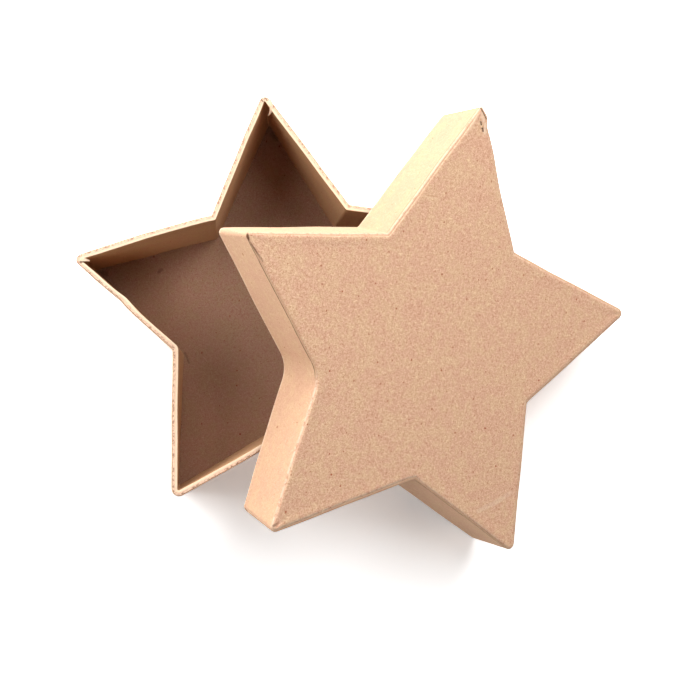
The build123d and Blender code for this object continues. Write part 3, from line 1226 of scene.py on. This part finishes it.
def lid_half() -> HalfBox:
    """The lid, open side down, leaning over the tray. Its shifts are in the order of its corners."""
    outline = StarOutline(edge=39.0, notch_radii=(1.4, 11.0, 1.4, 1.6, 1.6))
    shape = HandShape(
        outline=outline,
        panel_height=LID_DEPTH,
        rim_height=0.0,
        panel_shift=(
            (-1.2, 0.9), (-1.2, -1.9), (0.2, -0.3), (0.2, -0.8), (-1.3, -1.5),
            (1.6, 0.5), (0.8, -0.2), (-0.8, 1.1), (0.3, 0.4), (-2.6, 1.4),
        ),
        rim_shift=(
            (0.3, 0.8), (0.4, -0.6), (0.7, 0.0), (-0.1, -0.5), (-0.6, -0.2),
            (-0.2, -0.8), (-0.1, -1.0), (-0.3, 0.4), (0.1, 0.2), (0.2, 0.1),
        ),
        panel_bow=(0.2, 0.0, 0.0, 0.0, 0.0, 0.0, 0.0, 0.0, 0.0, 0.0),
        rim_bow=(0.2, 0.2, 0.2, 0.2, 0.2, 0.2, 0.0, 0.0, 0.0, 0.0),
        bends=(Bend(9, 0.92, 0.04, 1.0, 0.1, 1.0), Bend(9, 0.72, 0.16, 0.5, 0.1, 1.0)),
        panel_roundness=(0.22, 0.5, 0.8, 0.9, 0.85),
        rim_roundness=(0.9, 0.6, 0.9, 0.4, 0.9),
        rim_trim=(0.0, 0.0, 0.0, 0.0, 0.0, 0.0, 0.6, 0.0, 0.0, 0.0),
    )
    scars = (
        Scar((-73.0, 23.5, 22.4), (-72.3, 21.7, 22.4), 0.62, 1.0, 1.0),
        # Painted shade along the fold that runs on from the left point's slit.
        Scar((-72.3, 21.7, 22.5), (-66.4, 16.6, 22.5), 0.40, 0.75, 0.4),
        # Painted highlight along the ridge where a flap's edge shows through near the lower right point.
        Scar((28.6, -50.0, 22.6), (35.2, -46.4, 22.6), 1.20, 0.25, 1.0, pale=True, ragged=0.3),
        Scar((35.2, -46.4, 22.6), (40.4, -42.7, 22.6), 1.20, 0.28, 0.7, pale=True, ragged=0.3),
        Scar((-2.4, 78.6, 22.4), (1.2, 75.1, 22.6), 0.30, 0.95, 1.0),
        Scar((-0.5, 73.6, 22.7), (-0.2, 72.8, 22.7), 0.45, 0.85, 1.0, ragged=1.6),
        Scar((0.5, 71.8, 22.7), (0.9, 71.0, 22.7), 0.45, 0.9, 1.0, ragged=1.6),
        # Pale frayed paper at the upper point, with painted highlight round it.
        Scar((1.2, 73.4, 22.7), (1.6, 70.6, 22.7), 0.70, 0.6, 1.0, pale=True, ragged=1.4),
        Scar((-1.0, 76.2, 22.7), (0.4, 74.2, 22.7), 0.80, 0.5, 1.0, pale=True, ragged=1.4),
        Scar((-2.4, 74.6, 22.7), (-5.0, 68.6, 22.7), 0.60, 0.35, 0.6, pale=True, ragged=1.4),
        Scar((-45.6, -60.7, 0.6), (-45.8, -61.3, 3.0), 0.50, 0.85, 0.6),
        Scar((-46.0, -61.3, 22.4), (-44.6, -60.2, 22.7), 0.55, 0.6, 0.2),
    )
    names = {"wall": "lid_wall", "panel": "lid_top", "wrap": "lid_wrap", "sheet": "lid_face_sheet"}
    placement = Placement(-32.5, 25.37995, 18.0, (37.7644, -13.3858, 26.3094))
    return HalfBox(
        "lid", Side.DOWN, outline, LID_DEPTH, shape, placement, 2, names,
        finishes("lid", LID_STRIP, LID_PANEL), scars, ("wrap", "sheet"), pressed_flat=False,
        # rubbed and frayed give painted highlights to each wall's fold and sheet edge, and the row after
        # them gives painted shade along its fold line.
        rubbed=(0.7, 0.5, 0.0, 0.9, 0.1, 0.0, 0.1, 0.1, 0.2, 0.4),
        frayed=(0.2, 0.2, 0.0, 0.1, 1.2, 0.5, 0.3, 0.3, 0.3, 0.4),
        fold_shade=(0.35, 0.1, 0.9, 0.0, 0.0, 0.7, 0.0, 0.0, 0.0, 0.0),
        fold_tightness=(0.8, 0.8, 0.4, 0.8, 1.0, 0.5, 0.6, 0.6, 0.6, 0.6),
        sheet_edge=(1.0, 0.8, 0.4, 0.6, 1.3, 0.5, 0.7, 0.7, 0.7, 0.7),
    )


@dataclass(frozen=True)
class Softbox:
    """A square lamp aimed at the middle of the object, in a direction from there given by two angles."""

    name: str
    azimuth: float
    elevation: float
    power: float
    away: float = 0.75
    size: float = 0.35

    def make(self, aim: Vector) -> Object:
        """Adds the lamp, turned towards the aim."""
        data = bpy.data.lights.new(self.name, "AREA")
        data.shape = "SQUARE"
        data.size = self.size
        data.energy = self.power
        lamp = bpy.data.objects.new(self.name, data)
        bpy.context.scene.collection.objects.link(lamp)
        level = self.away * math.cos(math.radians(self.elevation))
        across, along = directions(np.array(self.azimuth)) * level
        lamp.location = aim + Vector((across, along, self.away * math.sin(math.radians(self.elevation))))
        lamp.rotation_mode = "QUATERNION"
        lamp.rotation_quaternion = (aim - lamp.location).to_track_quat("-Z", "Y")
        return lamp


@dataclass
class Studio:
    """Pale table, soft lamps and the camera."""

    aim: tuple[float, float, float] = (0.02, -0.01, 0.03)
    focal_px: float = 1301.4
    picture_px: int = 680
    eye: tuple[float, float, float] = (-0.03343, -0.04156, 0.45481)
    forward: tuple[float, float, float] = (0.1179, 0.0704, -0.9905)
    up: tuple[float, float, float] = (0.0915, 0.9925, 0.0814)
    floor_level: float = -0.0002
    floor_white: float = 0.80
    seen_white: float = 1.62
    seen_glow: float = 0.1
    far_glow: float = 1.1
    lit_reach: tuple[float, float] = (0.25, 0.60)
    boxes: tuple[Softbox, ...] = (
        Softbox("low_upper_left_softbox", 135.0, 12.0, 2.1),
        Softbox("low_left_softbox", 180.0, 12.0, 1.0),
        Softbox("upper_right_softbox", 45.0, 35.0, 2.8),
        Softbox("upper_softbox", 90.0, 35.0, 2.0),
        Softbox("near_softbox", 270.0, 35.0, 1.15),
        Softbox("high_softbox", 45.0, 62.0, 1.4),
        Softbox("close_upper_softbox", 105.0, 20.0, 0.7, 0.40, 0.20),
        Softbox("close_left_softbox", 165.0, 45.0, 0.68, 0.40, 0.20),
    )

    def make(self) -> None:
        """Makes the stage, the lamps and the camera."""
        self._floor()
        self._world()
        for box in self.boxes:
            box.make(Vector(self.aim))
        self._camera()
        bpy.context.scene.view_settings.view_transform = "Standard"

    def _floor(self) -> None:
        """A large flat table.

        Camera rays see it brighter, so that it clips to white outside the shadows. Further off than the
        lamps reach they see it glow white, which lights nothing.
        """
        half = 2.0
        corners = [(-half, -half), (half, -half), (half, half), (-half, half)]
        mesh = bpy.data.meshes.new("table")
        mesh.from_pydata([(x, y, self.floor_level) for x, y in corners], [], [(0, 1, 2, 3)])
        table = bpy.data.objects.new("table", mesh)
        bpy.context.scene.collection.objects.link(table)
        tree = ShaderTree(bpy.data.materials.new("white_table"))
        plain = tree.node("BsdfDiffuse", {"Color": (self.floor_white,) * 3 + (1.0,)})
        bright = tree.node("BsdfDiffuse", {"Color": (self.seen_white,) * 3 + (1.0,)})
        away = tree.vector("LENGTH", tree.node("TexCoord").outputs["Object"])
        beyond = tree.ramp(Num(tree, away), *self.lit_reach)
        faint = tree.node("Emission", {"Strength": self.seen_glow})
        near = tree.node("AddShader", {0: bright.outputs[0], 1: faint.outputs[0]})
        far = tree.node("Emission", {"Strength": self.far_glow})
        seen = tree.node("MixShader", {0: beyond, 1: near.outputs[0], 2: far.outputs[0]})
        directly = self._seen_directly(tree)
        table_top = tree.node("MixShader", {0: directly, 1: plain.outputs[0], 2: seen.outputs[0]})
        tree.node("OutputMaterial", {"Surface": table_top.outputs[0]})
        mesh.materials.append(tree.owner)

    @staticmethod
    def _seen_directly(tree: ShaderTree) -> Num:
        """1 for rays of the camera, of a mirror image and through glass, 0 for rays that carry light."""
        path = tree.node("LightPath")
        camera, mirrored, through = (
            Num(tree, path.outputs[f"Is {kind} Ray"]) for kind in ("Camera", "Glossy", "Transmission")
        )
        return (camera + mirrored + through).clamped()

    def _world(self) -> None:
        """Plain white where the camera or a reflection sees past the table, and no light of its own."""
        world = bpy.data.worlds.new("studio")
        bpy.context.scene.world = world
        tree = ShaderTree(world)
        white = {"Color": (1.0, 1.0, 1.0, 1.0), "Strength": self._seen_directly(tree)}
        background = tree.node("Background", white)
        tree.node("OutputWorld", {"Surface": background.outputs["Background"]})

    def _camera(self) -> None:
        """The camera, at the photograph's place and angle."""
        data = bpy.data.cameras.new("camera")
        data.sensor_width = 36.0
        data.lens = self.focal_px * data.sensor_width / self.picture_px
        data.clip_start = 0.01
        data.clip_end = 20.0
        camera = bpy.data.objects.new("camera", data)
        bpy.context.scene.collection.objects.link(camera)
        back = -Vector(self.forward).normalized()
        right = Vector(self.up).cross(back).normalized()
        upward = back.cross(right)
        turned = Matrix((right, upward, back)).transposed().to_4x4()
        camera.matrix_world = Matrix.Translation(Vector(self.eye)) @ turned
        bpy.context.scene.camera = camera


def main() -> None:
    """Loads the frame, dresses both halves and lights them."""
    logging.basicConfig(level=logging.INFO, format="%(name)s: %(message)s")
    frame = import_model()
    body = next(iter(frame["bodies"]))
    maker = PieceMaker(body)
    for half in (tray_half(), lid_half()):
        for piece in half.build(maker):
            log.info("made %s", piece.name)
    Studio().make()


if __name__ == "__main__":
    main()
